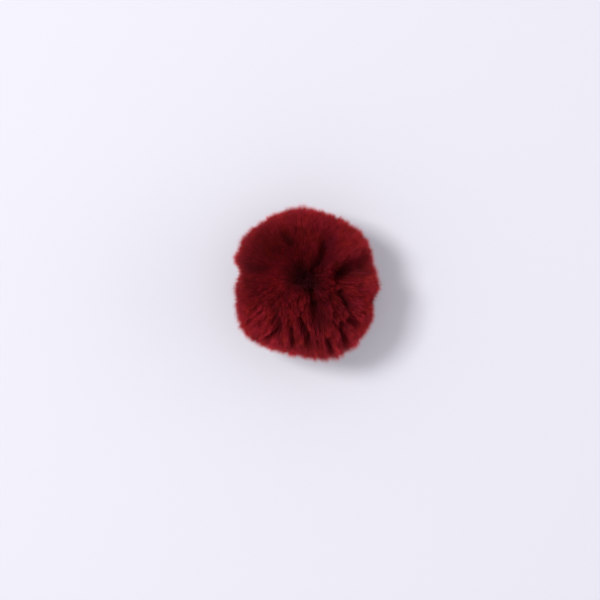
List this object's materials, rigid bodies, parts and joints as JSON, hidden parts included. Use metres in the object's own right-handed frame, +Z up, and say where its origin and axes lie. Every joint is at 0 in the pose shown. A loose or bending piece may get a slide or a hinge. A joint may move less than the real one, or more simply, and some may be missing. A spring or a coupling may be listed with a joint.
{
  "type": "fur pom pom",
  "caption": "Round pom pom of short dense dyed fur with a parted hollow on top, for trimming hats, bags and key rings. It rests on its own fur.",
  "frame": {"origin": "on the floor, under the middle of the ball", "axes": "+Z up, through the fur's parted hollow; +Y along the ball's longer side; +X to the right as seen from above"},
  "size_m": [0.0594, 0.0624, 0.052],
  "materials": {
    "fur": "short dense plush fur, dyed wine red, dull with a soft sheen at the tips"
  },
  "bodies": {
    "root": {"fur_ball": "fur"}
  },
  "joints": []
}
